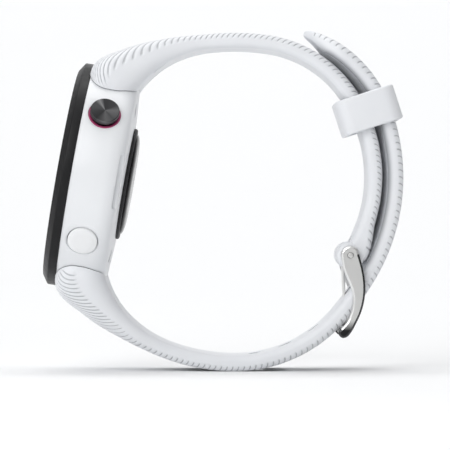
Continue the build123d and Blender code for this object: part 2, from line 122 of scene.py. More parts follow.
def tube_faces(rings, count):
    """Quads between rings of count points each."""
    faces = []
    for i in range(rings - 1):
        low, high = i * count, (i + 1) * count
        for j in range(count):
            n = (j + 1) % count
            faces.append((low + j, low + n, high + n, high + j))
    return faces


def arc(centre, radius, start, end, count):
    """Points on an arc between two angles in degrees."""
    return [centre + radius * np.array([math.cos(a), math.sin(a)])
            for a in np.linspace(math.radians(start), math.radians(end), count)]


def shade(mesh, smooth_angle):
    """Shades smooth, with edges above the angle sharp."""
    mesh.polygons.foreach_set("use_smooth", [True] * len(mesh.polygons))
    mesh.set_sharp_from_angle(angle=math.radians(smooth_angle))


def apply_modifiers(obj):
    """Replaces the object's mesh with its modified one."""
    bpy.context.view_layer.update()
    evaluated = obj.evaluated_get(bpy.context.evaluated_depsgraph_get())
    mesh = bpy.data.meshes.new_from_object(evaluated)
    obj.modifiers.clear()
    obj.data = mesh


def cut(obj, cutters, operation="DIFFERENCE"):
    """Subtracts (or joins) closed meshes and removes them."""
    for cutter in cutters:
        modifier = obj.modifiers.new("cut", "BOOLEAN")
        modifier.operation = operation
        modifier.solver = "MANIFOLD"
        modifier.object = cutter
    apply_modifiers(obj)
    for cutter in cutters:
        bpy.data.objects.remove(cutter)


def bevel(obj, width, segments=2, angle=40.0):
    """Rounds the sharp edges."""
    modifier = obj.modifiers.new("bevel", "BEVEL")
    modifier.width = width * MM
    modifier.segments = segments
    modifier.limit_method = "ANGLE"
    modifier.angle_limit = math.radians(angle)
    modifier.use_clamp_overlap = True
    modifier.harden_normals = False
    apply_modifiers(obj)
    shade(obj.data, 30.0)


def rounded(points, radius, steps=4, closed=True):
    """The outline with each corner replaced by an arc of the given radius, or list of radii."""
    points = [np.array(p, float) for p in points]
    count = len(points)
    radii = radius if isinstance(radius, (list, tuple)) else [radius] * count
    result = []
    for i, corner in enumerate(points):
        if (not closed and i in (0, count - 1)) or radii[i] <= 0:
            result.append(corner)
            continue
        back = points[i - 1] - corner
        ahead = points[(i + 1) % count] - corner
        back_length = np.linalg.norm(back)
        ahead_length = np.linalg.norm(ahead)
        back /= back_length
        ahead /= ahead_length
        angle = math.acos(max(-1.0, min(1.0, float(back @ ahead))))
        if angle > math.radians(175):
            result.append(corner)
            continue
        reach = min(radii[i] / math.tan(angle / 2), 0.48 * back_length, 0.48 * ahead_length)
        own_radius = reach * math.tan(angle / 2)
        bisector = back + ahead
        bisector /= np.linalg.norm(bisector)
        centre = corner + bisector * own_radius / math.sin(angle / 2)
        first = corner + back * reach - centre
        last = corner + ahead * reach - centre
        sweep = math.acos(max(-1.0, min(1.0, float(first @ last) / own_radius ** 2)))
        for k in range(steps + 1):
            t = k / steps
            blend = (math.sin((1 - t) * sweep) * first + math.sin(t * sweep) * last) / math.sin(sweep)
            result.append(centre + blend)
    return result


def lathe(name, profile, origin, axis, across, material, segments=192, closed=True,
          smooth_angle=35.0):
    """Turns an (r, z) profile about an axis. A point with r = 0 becomes one vertex."""
    axis = np.array(axis, float)
    across = np.array(across, float)
    third = np.cross(axis, across)
    vertices = []
    rings = []
    for r, z in profile:
        centre = origin + axis * z
        if r < 1e-9:
            rings.append([len(vertices)])
            vertices.append(centre)
            continue
        ring = []
        for k in range(segments):
            a = 2 * math.pi * k / segments
            ring.append(len(vertices))
            vertices.append(centre + (across * math.cos(a) + third * math.sin(a)) * r)
        rings.append(ring)
    faces = []
    pairs = list(zip(rings, rings[1:]))
    if closed:
        pairs.append((rings[-1], rings[0]))
    for low, high in pairs:
        if len(low) == 1 and len(high) == 1:
            continue
        for k in range(segments):
            n = (k + 1) % segments
            if len(low) == 1:
                faces.append((low[0], high[n], high[k]))
            elif len(high) == 1:
                faces.append((low[k], low[n], high[0]))
            else:
                faces.append((low[k], low[n], high[n], high[k]))
    return make_object(name, vertices, faces, material, smooth_angle)


def head_lathe(name, profile, material, radius=0.0, steps=3, segments=256, closed=True,
               smooth_angle=35.0):
    """A body turned about the head's axis."""
    points = rounded(profile, radius, steps, closed) if radius else profile
    return lathe(name, points, FRONT, HEAD_Z, HEAD_X, material, segments, closed, smooth_angle)


def radial_frame(angle):
    """Outward direction, side direction and origin of a radius of the head."""
    a = math.radians(angle)
    outward = HEAD_X * math.cos(a) + HEAD_Y * math.sin(a)
    return outward, HEAD_Z, head_point(0, 0, BUTTON_Z)


def head_post(name, profile, x, y, material, segments):
    """A body turned about a line beside the head's axis and parallel to it."""
    return lathe(name, profile, head_point(x, y, 0), HEAD_Z, HEAD_X, material, segments, False)


def cross_lathe(name, profile, centre, material, segments, closed=False):
    """A body turned about a line across the strap, through the point (x, z)."""
    origin = np.array([centre[0], 0, centre[1]])
    return lathe(name, profile, origin, (0, -1, 0), (1, 0, 0), material, segments, closed)


def radial_lathe(name, angle, profile, material, segments=96, closed=False, smooth_angle=35.0):
    """A body turned about a radius of the head; the profile's z counts from the head's axis."""
    outward, side, origin = radial_frame(angle)
    return lathe(name, profile, origin, outward, side, material, segments, closed, smooth_angle)


def prism(name, outline, plane, low, high, material, smooth_angle=35.0):
    """A closed prism: outline points (u, v) on plane = (origin, u axis, v axis, normal)."""
    origin, u_axis, v_axis, normal = plane
    count = len(outline)
    vertices = []
    for height in (low, high):
        for u, v in outline:
            vertices.append(origin + u_axis * u + v_axis * v + normal * height)
    faces = [tuple(range(count - 1, -1, -1)), tuple(range(count, 2 * count))] + tube_faces(2, count)
    return make_object(name, vertices, faces, material, smooth_angle)


def rectangle(width, height, radius=0.0, centre=(0.0, 0.0), steps=4):
    """The outline of a rectangle, with rounded corners if a radius is given."""
    x, y = centre
    corners = [(x - width / 2, y - height / 2), (x + width / 2, y - height / 2),
               (x + width / 2, y + height / 2), (x - width / 2, y + height / 2)]
    return rounded(corners, radius, steps) if radius else corners


def join(name, objects):
    """Joins meshes into one object."""
    joined = bmesh.new()
    for obj in objects:
        joined.from_mesh(obj.data)
    mesh = bpy.data.meshes.new(name)
    joined.to_mesh(mesh)
    joined.free()
    for material in objects[0].data.materials:
        mesh.materials.append(material)
    result = in_scene(name, mesh)
    for obj in objects:
        bpy.data.objects.remove(obj)
    shade(mesh, 35.0)
    return result


SIDE_PLANE = (np.zeros(3), np.array([1.0, 0, 0]), np.array([0, 0, 1.0]), np.array([0, -1.0, 0]))


HEAD_PLANE = (head_point(0, 0, 0), HEAD_X, HEAD_Y, HEAD_Z)


# ------------------------------------------------------------------ material helpers
def new_material(name, color, roughness, metallic=0.0, **sockets):
    """A Principled material; sockets are set by their names with _ for spaces."""
    material = bpy.data.materials.new(name)
    material.use_nodes = True
    shader = material.node_tree.nodes["Principled BSDF"]
    shader.inputs["Base Color"].default_value = (*color, 1.0)
    shader.inputs["Roughness"].default_value = roughness
    shader.inputs["Metallic"].default_value = metallic
    for key, value in sockets.items():
        shader.inputs[key.replace("_", " ")].default_value = value
    return material


def shader_of(material):
    return material.node_tree.nodes["Principled BSDF"]


def node(material, kind, **settings):
    made = material.node_tree.nodes.new(kind)
    for key, value in settings.items():
        if key in made.inputs:
            made.inputs[key].default_value = value
        else:
            setattr(made, key, value)
    return made


def link(material, start, end):
    material.node_tree.links.new(start, end)


def object_coordinates(material):
    return node(material, "ShaderNodeTexCoord").outputs["Object"]


def axes_of(material, vector):
    """The X, Y and Z outputs of a vector."""
    split = node(material, "ShaderNodeSeparateXYZ")
    link(material, vector, split.inputs["Vector"])
    return split.outputs


def noise(material, scale, detail=4.0, roughness=0.5, stretch=None):
    """Noise in the object's own coordinates, in features per metre; stretch scales the axes."""
    source = object_coordinates(material)
    if stretch:
        mapping = node(material, "ShaderNodeMapping")
        mapping.inputs["Scale"].default_value = stretch
        link(material, source, mapping.inputs["Vector"])
        source = mapping.outputs["Vector"]
    texture = node(material, "ShaderNodeTexNoise", Scale=scale, Detail=detail, Roughness=roughness)
    link(material, source, texture.inputs["Vector"])
    return texture.outputs["Fac"]


def ramp(material, source, low, high, start=0.3, end=0.7):
    """Maps a factor between start and end to values from low to high."""
    mapped = node(material, "ShaderNodeMapRange")
    mapped.inputs["From Min"].default_value = start
    mapped.inputs["From Max"].default_value = end
    mapped.inputs["To Min"].default_value = low
    mapped.inputs["To Max"].default_value = high
    link(material, source, mapped.inputs["Value"])
    return mapped.outputs["Result"]


def vary_color(material, factor, first, second):
    mixed = node(material, "ShaderNodeMix", data_type="RGBA")
    mixed.inputs["A"].default_value = (*first, 1.0)
    mixed.inputs["B"].default_value = (*second, 1.0)
    link(material, factor, mixed.inputs["Factor"])
    link(material, mixed.outputs["Result"], shader_of(material).inputs["Base Color"])
    return mixed


def vary_roughness(material, factor, low, high, start=0.3, end=0.7):
    link(material, ramp(material, factor, low, high, start, end), shader_of(material).inputs["Roughness"])


def add_bump(material, height, strength, distance):
    bump = node(material, "ShaderNodeBump", Strength=strength, Distance=distance * MM)
    link(material, height, bump.inputs["Height"])
    shader = shader_of(material)
    if shader.inputs["Normal"].is_linked:
        link(material, shader.inputs["Normal"].links[0].from_socket, bump.inputs["Normal"])
    link(material, bump.outputs["Normal"], shader.inputs["Normal"])
    return bump


# ------------------------------------------------------------------ materials
def moulded(name, color, roughness, grain_scale=4000.0, grain=0.02, variation=0.03, **sockets):
    """Moulded plastic or rubber: faint mottling and a fine sprayed grain."""
    material = new_material(name, color, roughness, **sockets)
    mottling = noise(material, 180.0, 3.0)
    darker = tuple(c * (1 - variation) for c in color)
    vary_color(material, ramp(material, mottling, 0.0, 1.0), color, darker)
    grain_height = noise(material, grain_scale, 3.0, 0.6)
    vary_roughness(material, noise(material, 900.0, 4.0), roughness - 0.05, roughness + 0.07)
    add_bump(material, grain_height, 0.6, grain)
    return material


def strap_material():
    """White silicone; the groove attribute mixes in a dark colour as painted shade in the grooves, along
    the seam at the case and in the slit between the straps.
    """
    material = new_material("white_silicone", (0.80, 0.815, 0.84), 0.42,
                            Specular_IOR_Level=0.45, Sheen_Weight=0.06, Sheen_Roughness=0.4)
    groove = node(material, "ShaderNodeAttribute", attribute_name="groove")
    mottling = noise(material, 150.0, 3.0)
    base = vary_color(material, ramp(material, mottling, 0.0, 1.0), (0.80, 0.815, 0.84),
                      (0.775, 0.79, 0.82))
    shaded = node(material, "ShaderNodeMix", data_type="RGBA")
    link(material, base.outputs["Result"], shaded.inputs["A"])
    # dark colour of the painted shade that the groove attribute mixes in
    shaded.inputs["B"].default_value = (0.16, 0.17, 0.185, 1.0)
    link(material, groove.outputs["Fac"], shaded.inputs["Factor"])
    link(material, shaded.outputs["Result"], shader_of(material).inputs["Base Color"])
    vary_roughness(material, noise(material, 700.0, 4.0), 0.38, 0.5)
    add_bump(material, noise(material, 5000.0, 2.0, 0.6), 0.5, 0.012)
    return material


def metal(name, color, roughness, brushed=(1.0, 1.0, 1.0), scale=1500.0, **sockets):
    """Metal with fine scratches along its brushing direction and slight tarnish."""
    material = new_material(name, color, roughness, 1.0, **sockets)
    scratches = noise(material, scale, 6.0, 0.7, stretch=brushed)
    vary_roughness(material, scratches, max(0.03, roughness - 0.08), roughness + 0.1)
    tarnish = ramp(material, noise(material, 250.0, 4.0), 0.0, 1.0)
    vary_color(material, tarnish, color, tuple(c * 0.9 for c in color))
    add_bump(material, scratches, 0.25, 0.01)
    return material


def circuit_board():
    """Green solder mask over copper pours, in a brick pattern of two greens with darker joints."""
    material = new_material("circuit_board", (0.02, 0.13, 0.06), 0.35)
    coordinates = object_coordinates(material)
    brick = node(material, "ShaderNodeTexBrick", Scale=420.0)
    brick.inputs["Color1"].default_value = (0.02, 0.13, 0.06, 1)
    brick.inputs["Color2"].default_value = (0.03, 0.19, 0.09, 1)
    brick.inputs["Mortar"].default_value = (0.01, 0.07, 0.03, 1)
    link(material, coordinates, brick.inputs["Vector"])
    link(material, brick.outputs["Color"], shader_of(material).inputs["Base Color"])
    add_bump(material, brick.outputs["Fac"], 0.5, 0.02)
    vary_roughness(material, noise(material, 1200.0), 0.25, 0.5)
    return material


def buckle_metal():
    """Satin steel with a painted dark reflection that darkens it towards the crossbar."""
    bright, dark = (0.74, 0.74, 0.73), (0.03, 0.03, 0.031)
    material = metal("buckle_metal", bright, 0.36, (1, 1, 6), 1200.0)
    # painted dark reflection, fading to near black from 8.9 mm down to 7.2 mm
    height = axes_of(material, object_coordinates(material))["Z"]
    factor = ramp(material, height, 1.0, 0.0, 7.2 * MM, 8.9 * MM)
    vary_color(material, factor, bright, dark)
    return material


# Turn around the start cap, from 0 to 1, and how bright the painted fans of light are there.
FAN_STOPS = [(0.0, 0.45), (0.03, 0.5), (0.11, 0.08), (0.29, 0.05), (0.345, 0.8), (0.40, 0.1),
             (0.66, 0.04), (0.78, 0.5), (0.88, 0.12), (1.0, 0.45)]


def spun_metal():
    """Dark anodised cap, spun about its own z axis. The fans of light are painted, as colour."""
    dark, light = (0.035, 0.035, 0.037), (0.24, 0.24, 0.245)
    material = new_material("start_metal", dark, 0.34, 1.0, Anisotropic=0.8)
    tangent = node(material, "ShaderNodeTangent", direction_type="RADIAL", axis="Z")
    link(material, tangent.outputs["Tangent"], shader_of(material).inputs["Tangent"])
    coordinates = object_coordinates(material)
    axes = axes_of(material, coordinates)
    angle = node(material, "ShaderNodeMath", operation="ARCTAN2")
    link(material, axes["Y"], angle.inputs[0])
    link(material, axes["X"], angle.inputs[1])
    turn = ramp(material, angle.outputs["Value"], 0.0, 1.0, -math.pi, math.pi)
    fans = node(material, "ShaderNodeValToRGB")
    link(material, turn, fans.inputs["Fac"])
    elements = fans.color_ramp.elements
    while len(elements) < len(FAN_STOPS):
        elements.new(0.5)
    for element, (position, value) in zip(elements, FAN_STOPS):
        element.position = position
        element.color = (value, value, value, 1.0)
    vary_color(material, fans.outputs["Color"], dark, light)
    rings = node(material, "ShaderNodeTexWave", wave_type="RINGS", rings_direction="Z", Scale=2600.0,
                 Distortion=0.0)
    link(material, coordinates, rings.inputs["Vector"])
    add_bump(material, rings.outputs["Fac"], 0.3, 0.004)
    return material


def glass(name, color, roughness=0.02):
    material = new_material(name, color, roughness, Transmission_Weight=1.0, IOR=1.5,
                            Coat_Weight=0.3, Coat_Roughness=0.03)
    smear = noise(material, 60.0, 4.0)
    vary_roughness(material, smear, roughness, roughness + 0.03)
    add_bump(material, noise(material, 300.0, 2.0), 0.02, 0.01)
    return material


def all_materials():
    """Every material by the name of its slot or finish."""
    return {
        "white_shell": moulded("white_shell", (0.80, 0.815, 0.835), 0.33, 3500.0, 0.006, 0.02,
                               Coat_Weight=0.15, Coat_Roughness=0.2),
        "white_button": moulded("white_button", (0.84, 0.85, 0.86), 0.33, 3500.0, 0.006, 0.02),
        "black_bezel": moulded("black_bezel", (0.011, 0.011, 0.012), 0.4, 5000.0, 0.006, 0.15,
                               Specular_IOR_Level=0.2),
        "lens_glass": glass("lens_glass", (0.95, 0.96, 0.97)),
        "adhesive": moulded("adhesive", (0.03, 0.03, 0.03), 0.8, 2500.0, 0.03, 0.2),
        "light_guide": moulded("light_guide", (0.75, 0.77, 0.78), 0.15, 2500.0, 0.004, 0.05),
        "antenna_metal": metal("antenna_metal", (0.83, 0.62, 0.28), 0.25),
        "frame_plastic": moulded("frame_plastic", (0.03, 0.03, 0.033), 0.55, 3000.0, 0.02, 0.2),
        "circuit_board": circuit_board(),
        "tin_shield": metal("tin_shield", (0.72, 0.73, 0.74), 0.3, (1, 6, 1)),
        "battery_foil": metal("battery_foil", (0.62, 0.63, 0.64), 0.38, (1, 1, 5)),
        "pin_metal": metal("pin_metal", (0.74, 0.74, 0.73), 0.4, (1, 1, 1)),
        "steel": metal("steel", (0.62, 0.62, 0.63), 0.28, (1, 8, 1)),
        "tungsten": metal("tungsten", (0.3, 0.3, 0.31), 0.5),
        "brass_disc": metal("brass_disc", (0.8, 0.62, 0.3), 0.3, (5, 1, 1)),
        "black_rubber": moulded("black_rubber", (0.02, 0.02, 0.021), 0.7, 2500.0, 0.02, 0.25),
        "back_plastic": moulded("back_plastic", (0.79, 0.80, 0.82), 0.36, 3500.0, 0.008, 0.02,
                                Coat_Weight=0.1, Coat_Roughness=0.25),
        "sensor_ring": moulded("sensor_ring", (0.028, 0.028, 0.03), 0.5, 4000.0, 0.01, 0.15,
                               Specular_IOR_Level=0.3),
        "sensor_glass": moulded("sensor_glass", (0.005, 0.005, 0.006), 0.14, 3000.0, 0.002, 0.1,
                                Specular_IOR_Level=0.12),
        "photodiode": moulded("photodiode", (0.02, 0.02, 0.05), 0.2, 3000.0, 0.004, 0.2),
        "start_metal": spun_metal(),
        "raspberry": moulded("raspberry", (0.42, 0.055, 0.16), 0.32, 4000.0, 0.006, 0.1),
        "white_silicone": strap_material(),
        "buckle_metal": buckle_metal(),
        # polished edges, brighter partly as a painted highlight
        "buckle_polish_painted_highlight": metal("buckle_polish_painted_highlight", (0.9, 0.9, 0.89), 0.34, (1, 1, 4), 1200.0),
        # painted dark reflection on the edges facing +x and on the foot
        "buckle_painted_dark_reflection": metal("buckle_painted_dark_reflection", (0.075, 0.075, 0.077), 0.26, (1, 6, 1), 1500.0),
        "display": moulded("display", (0.012, 0.013, 0.016), 0.25, 2500.0, 0.002, 0.1),
    }


MATERIAL = all_materials()


def place(obj, body, slot, *nodes):
    """Rides a piece on its body and hides the CAD nodes that it stands for. The slot is not used."""
    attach(obj, body)
    if nodes:
        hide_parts(*nodes)


# CAD nodes that stay take their slot's material
for part in frame["record"]["subparts"]:
    mesh = frame["nodes"][part["node"]].data
    mesh.materials.clear()
    mesh.materials.append(MATERIAL[part["material_slot"]])


# ------------------------------------------------------------------ watch head
def build_bezel():
    profile = [(LENS_RADIUS + 0.05, 0), (18.25, 0), (BEZEL_RADIUS, -1.0), (BEZEL_RADIUS, -BEZEL_DEPTH),
               (14.45, -BEZEL_DEPTH), (14.45, -1.5), (LENS_RADIUS + 0.05, -1.5)]
    radii = [0.08, 0.5, 0.35, 0.1, 0.05, 0.03, 0.03]
    bezel = head_lathe("bezel_ring", profile, MATERIAL["black_bezel"], radii, 5)
    place(bezel, "root", "black_bezel", "bezel")


def build_lens():
    profile = [(0, -0.05), (LENS_RADIUS - 0.12, -0.05), (LENS_RADIUS, -0.2), (LENS_RADIUS, -1.3), (0, -1.3)]
    lens = head_lathe("lens_disc", profile, MATERIAL["lens_glass"], closed=False)
    place(lens, "root", "lens_glass", "lens")


def build_case():
    """The case shell: a turned wall with button pockets, stem bores and a pry notch."""
    inner = CASE_RADIUS - 1.6
    outline = [(17.2, -BEZEL_DEPTH), (CASE_RADIUS, -BEZEL_DEPTH), (CASE_RADIUS - 0.05, -8.0)]
    edge = [(CASE_RADIUS - 0.05 - 2.0 * (1 - math.cos(a)), -8.0 - 3.0 * math.sin(a))
            for a in np.linspace(0.15, math.pi / 2, 12)]
    inside = [(COVER_RADIUS + 0.1, CASE_BACK), (COVER_RADIUS + 0.1, -9.7), (15.9, -9.7), (15.9, -9.0),
              (inner, -9.0), (inner, -3.6), (17.2, -3.2)]
    profile = rounded(outline + edge + inside, [0.05, 0.12, 1.0] + [0] * 12 + [0.08] * 7, 4)
    case = head_lathe("case_wall", profile, MATERIAL["white_shell"])
    cutters = []
    for name, angle in BUTTON_ANGLES.items():
        pocket = [(0, POCKET_FLOOR), (POCKET_RADIUS, POCKET_FLOOR), (POCKET_RADIUS, 21), (0, 21)]
        cutters.append(radial_lathe("pocket", angle, pocket, MATERIAL["white_shell"], 128))
        bore = [(0, 14), (STEM_RADIUS + 0.05, 14), (STEM_RADIUS + 0.05, 18), (0, 18)]
        cutters.append(radial_lathe("bore", angle, bore, MATERIAL["white_shell"], 48))
    notch_plane = (head_point(0, 0, CASE_BACK), HEAD_Y, HEAD_Z, HEAD_X)
    cutters.append(prism("notch", rectangle(9.6, 1.5, 0.55), notch_plane, 17.4, 21.0,
                         MATERIAL["white_shell"]))
    cut(case, cutters)
    bevel(case, 0.07, 2, 50.0)
    place(case, "root", "white_shell", "case_shell")


def button_cap(name, profile, material, radii):
    """A cap turned about its own z axis, so that the spun finish follows it."""
    angle = BUTTON_ANGLES[name]
    outward, side, origin = radial_frame(angle)
    points = rounded(profile, radii, 4, closed=False)
    cap = lathe(f"{name}_cap", points, np.zeros(3), (0, 0, 1), (1, 0, 0), material, 128, False)
    third = np.cross(outward, side)
    rotation = Matrix([[side[i], third[i], outward[i]] for i in range(3)]).to_4x4()
    cap.matrix_world = Matrix.Translation(Vector(origin * MM)) @ rotation
    return cap


def build_buttons():
    stem = [(STEM_RADIUS, 18.1), (STEM_RADIUS, 17.2), (0.9, 17.2), (0.9, 16.85), (STEM_RADIUS, 16.85),
            (STEM_RADIUS, 16.55), (0.8, 16.55), (0.8, 16.25), (STEM_RADIUS, 16.25), (STEM_RADIUS, 15.9),
            (0, 15.9)]
    profile = [(0, 20.75), (2.53, 20.75), (2.53, 19.9), (2.15, 19.9), (2.15, 18.1)] + stem
    radii = [0, 0.16, 0.08, 0.05, 0.1] + [0.02] * len(stem)
    start = button_cap("start", profile, MATERIAL["start_metal"], radii)
    place(start, "start_button", "start_metal", "start_button")
    for name in ("back", "light", "up", "down"):
        profile = [(0, 19.87), (1.6, 19.84), (2.58, 19.72), (2.58, 18.3), (2.3, 18.3), (2.3, 18.1)] + stem
        radii = [0, 1.0, 0.18, 0.08, 0.03, 0.05] + [0.02] * len(stem)
        cap = button_cap(name, profile, MATERIAL["white_button"], radii)
        place(cap, f"{name}_button", "white_button", f"{name}_button")
    ring = rounded([(2.25, 18.5), (POCKET_RADIUS - 0.01, 18.5), (POCKET_RADIUS - 0.01, 19.42),
                    (2.6, 19.42), (2.25, 19.2)], [0.02, 0.02, 0.1, 0.1, 0.05], 4)
    pink = radial_lathe("start_seat_ring", BUTTON_ANGLES["start"], ring, MATERIAL["raspberry"], 128, True)
    place(pink, "root", "raspberry", "start_ring")
    seats = []
    for name in ("back", "light", "up", "down"):
        ring = rounded([(2.68, 18.5), (POCKET_RADIUS - 0.01, 18.5), (POCKET_RADIUS - 0.01, 19.35),
                        (2.68, 19.3)], 0.06, 4)
        seats.append(radial_lathe("seat", BUTTON_ANGLES[name], ring, MATERIAL["white_shell"], 128, True))
    place(join("button_seat_rings", seats), "root", "white_shell", "button_rings")


def ring_points(radius, angles):
    return [(radius * math.cos(math.radians(a)), radius * math.sin(math.radians(a))) for a in angles]


def build_back():
    """Back cover with its screws, charging port and the raised sensor."""
    dome = [(COVER_RADIUS - (COVER_RADIUS - 10.2) * t,
             CASE_BACK + (COVER_CROWN - CASE_BACK) * math.sin(t * math.pi / 2))
            for t in np.linspace(0, 1, 14)]
    profile = [(9.4, COVER_CROWN), (9.4, -9.75), (15.9, -9.75), (15.9, -9.95), (COVER_RADIUS, -9.95)] + dome
    cover = head_lathe("back_plate", profile, MATERIAL["back_plastic"])
    cutters = []
    for x, y in ring_points(SCREW_RING, SCREW_ANGLES):
        hole = [(0, -12.2), (1.25, -12.2), (1.25, -10.5), (0.8, -10.5), (0.8, -9), (0, -9)]
        cutters.append(head_post("hole", hole, x, y, MATERIAL["back_plastic"], 48))
    port = rectangle(3.4, 8.8, 0.8, (PORT_X, 0))
    cutters.append(prism("port", port, HEAD_PLANE, -12.5, -9.0, MATERIAL["back_plastic"]))
    cut(cover, cutters)
    bevel(cover, 0.06, 2, 50.0)
    place(cover, "root", "back_plastic", "back_cover")

    base = head_lathe("sensor_bezel", [(8.95, -9.75), (9.35, -9.75), (9.35, COVER_CROWN - 0.02),
                                       (9.85, COVER_CROWN - 0.02), (9.85, -11.8), (9.6, -12.02),
                                       (8.95, -12.02)],
                      MATERIAL["sensor_ring"], [0.05, 0.05, 0.03, 0.08, 0.15, 0.1, 0.05], 4)
    place(base, "root", "sensor_ring", "sensor_base")
    shoulder = [(8.9 - 2.7 * (1 - math.cos(a)), -12.05 - 0.7 * math.sin(a))
                for a in np.linspace(0, math.pi / 2, 14)]
    window = head_lathe("sensor_lens", [(0, -11.2), (8.9, -11.2)] + shoulder + [(0, SENSOR_FACE)],
                        MATERIAL["sensor_glass"], closed=False)
    place(window, "root", "sensor_glass", "sensor_window")
    screws = []
    for x, y in ring_points(SCREW_RING, SCREW_ANGLES):
        body = rounded([(0, -11.05), (1.15, -11.05), (1.15, -10.5), (0.65, -10.5), (0.65, -7.1), (0, -7.1)],
                       [0, 0.12, 0.03, 0.03, 0.1, 0], 3, closed=False)
        screw = head_post("screw", body, x, y, MATERIAL["steel"], 48)
        socket = [(0.52 * math.cos(math.pi * k / 3), 0.52 * math.sin(math.pi * k / 3)) for k in range(6)]
        cut(screw, [prism("socket", [(x + a, y + b) for a, b in socket], HEAD_PLANE, -11.5, -10.7,
                          MATERIAL["steel"])])
        screws.append(screw)
    place(join("back_screw_set", screws), "root", "steel", "back_screws")
    contacts = []
    for k in range(4):
        pad = rounded([(0, -10.95), (0.5, -10.95), (0.5, -9.15), (0, -9.15)], [0, 0.15, 0.05, 0], 4, False)
        contacts.append(head_post("contact", pad, PORT_X, 3.0 - 2.0 * k, MATERIAL["antenna_metal"], 32))
    place(join("charge_pins", contacts), "root", "antenna_metal", "charge_contacts")


build_bezel()
build_lens()
build_case()
build_buttons()
build_back()


# ------------------------------------------------------------------ straps
# Sections of each root: outer point, inner point, width and corner radius.
UPPER_ROOT = [((-23.5, 46.1), (-15.5, 44.7), 24.4, 3.4), ((-22.5, 53.3), (-15.3, 48.1), 24.0, 3.4),
              ((-17.0, 56.25), (-12.3, 51.75), 21.8, 2.7), ((-10.0, 57.95), (-8.0, 54.6), 19.6, 1.6)]
LOWER_ROOT = [((-27.65, 22.4), (-19.7, 21.0), 24.4, 3.4), ((-29.1, 14.9), (-20.6, 17.4), 24.0, 3.4),
              ((-24.0, 9.7), (-18.6, 12.2), 21.8, 2.6), ((-17.0, 5.4), (-14.2, 7.5), 19.6, 1.6)]
UPPER_BAND = ((-2.4, 57.45), 6.2, [(41.5, -14.1), (20.7, -47.0), (25.5, -45.0), (22.7, -26.0)])
LOWER_BAND = ((-8.6, 3.12), -18.6, [(33.9, 18.2), (24.1, 50.2), (53.0, 8.4), (33.5, 54.0), (20.6, 52.4)])
UPPER_THICKNESS = 2.6
LOWER_THICKNESS = 2.7
EDGE_RADIUS = 1.15
SEAM_RADIUS = 19.65
HOLE_PITCH = 6.0
ENGAGED = 32.6                           # distance of the hole that the tongue is in
TAIL_LENGTH = 8.0                        # the rounded end of the lower strap
TIP_LENGTH = 1.1                         # the part of it that also thins

# Grooves of each strap: extra reach beside the case, curl, lean, and the pitch along the strap.
UPPER_GROOVES = (2.1, 0.9, 0.8, ([0, 8, 14, 20, 30, 60], [0.72, 0.8, 0.85, 0.9, 0.95, 0.95]))
LOWER_GROOVES = (2.9, 0.7, 0.1, ([0, 10, 16, 30, 50, 80], [0.78, 0.8, 0.9, 0.94, 1.05, 1.14]))
BASE_REACH = 0.95                        # depth of the grooves down the side, away from the case
# painted shade in the grooves, as a share of the dark colour
GROOVE_PAINTED_SHADE = 0.5
MIN_GROOVE_STEP = 0.4
ROW_STEP = 0.4                           # rows beyond the last groove
NEAR_SEAM = 0.8                          # rows crowd together within this distance of the seam
SEAM_STEP = 0.05                         # step of the search for the seam
# Five close rows at each groove: offset along the strap and share of the groove's depth.
GROOVE_ROWS = [(-0.15, 0.0), (-0.09, 0.8), (0.0, 1.0), (0.09, 0.8), (0.15, 0.0)]
# Rows of the seam: distance from it, share of a groove, inset and painted shade.
SEAM_ROWS = [(0.0, 0.0, 0.22, 1.0), (0.09, 0.0, 0.12, 1.0), (0.2, 0.0, 0.0, 0.0)]

# The lower strap's inner face swells where the straps lie together. The swelling runs through the
# upper strap beside the buckle's eye. Spans are start, rise, end and fall, in mm along the strap.
SWELL_SPAN = (39.0, 3.0, 83.0, 5.0)
SWELL_HEIGHT = 0.9
SWELL_EXTRA = 0.6                        # more at the start, fading from 43 to 49 mm
SLIT_SHADE_SPAN = (40.0, 3.0, 84.0, 4.0)       # where the inner corner carries a painted shade of the slit between the straps
# strength of the painted shade in the slit
SLIT_PAINTED_SHADE = 0.7

KEEPER_PLACE = np.array([25.42, 0, 45.5])
KEEPER_TILT = math.radians(18.0)
KEEPER_HALF_LENGTH = 3.1
NOTCH_SPAN = (7.2, 8.4)                  # tool notches of the spring bars, from the middle plane


def along(band, distance):
    """Point and heading on a band's centreline, in millimetres and radians."""
    (x, z), heading, arcs = band
    heading = math.radians(heading)
    for radius, turn in arcs:
        length = radius * abs(math.radians(turn))
        side = 1 if turn > 0 else -1
        later = heading + math.radians(turn) * min(1.0, distance / length)
        x += side * radius * (math.sin(later) - math.sin(heading))
        z -= side * radius * (math.cos(later) - math.cos(heading))
        heading = later
        distance -= length
        if distance <= 0:
            break
    return np.array([x, z]), heading


def smooth_step(x):
    x = np.clip(x, 0, 1)
    return x * x * (3 - 2 * x)


def plateau(x, start, rise, end, fall):
    """Rises smoothly from 0 to 1 after start and falls back to 0 after end."""
    return smooth_step((x - start) / rise) * (1 - smooth_step((x - end) / fall))


def band_length(band):
    return sum(radius * abs(math.radians(turn)) for radius, turn in band[2])


def smooth_line(knots, values, at):
    """A smooth curve through values at the knots (finite-difference Hermite spans)."""
    knots = np.array(knots, float)
    values = np.array(values, float)
    steps = np.diff(knots)
    slopes = np.diff(values, axis=0) / steps[:, None]
    tangents = np.vstack([slopes[:1], (slopes[1:] * steps[:-1, None] + slopes[:-1] * steps[1:, None])
                          / (steps[1:] + steps[:-1])[:, None], slopes[-1:]])
    k = np.clip(np.searchsorted(knots, at, side="right") - 1, 0, len(steps) - 1)
    h = steps[k][:, None]
    t = ((at - knots[k]) / steps[k])[:, None]
    return ((2 * t ** 3 - 3 * t ** 2 + 1) * values[k] + (t ** 3 - 2 * t ** 2 + t) * h * tangents[k]
            + (3 * t ** 2 - 2 * t ** 3) * values[k + 1] + (t ** 3 - t ** 2) * h * tangents[k + 1])


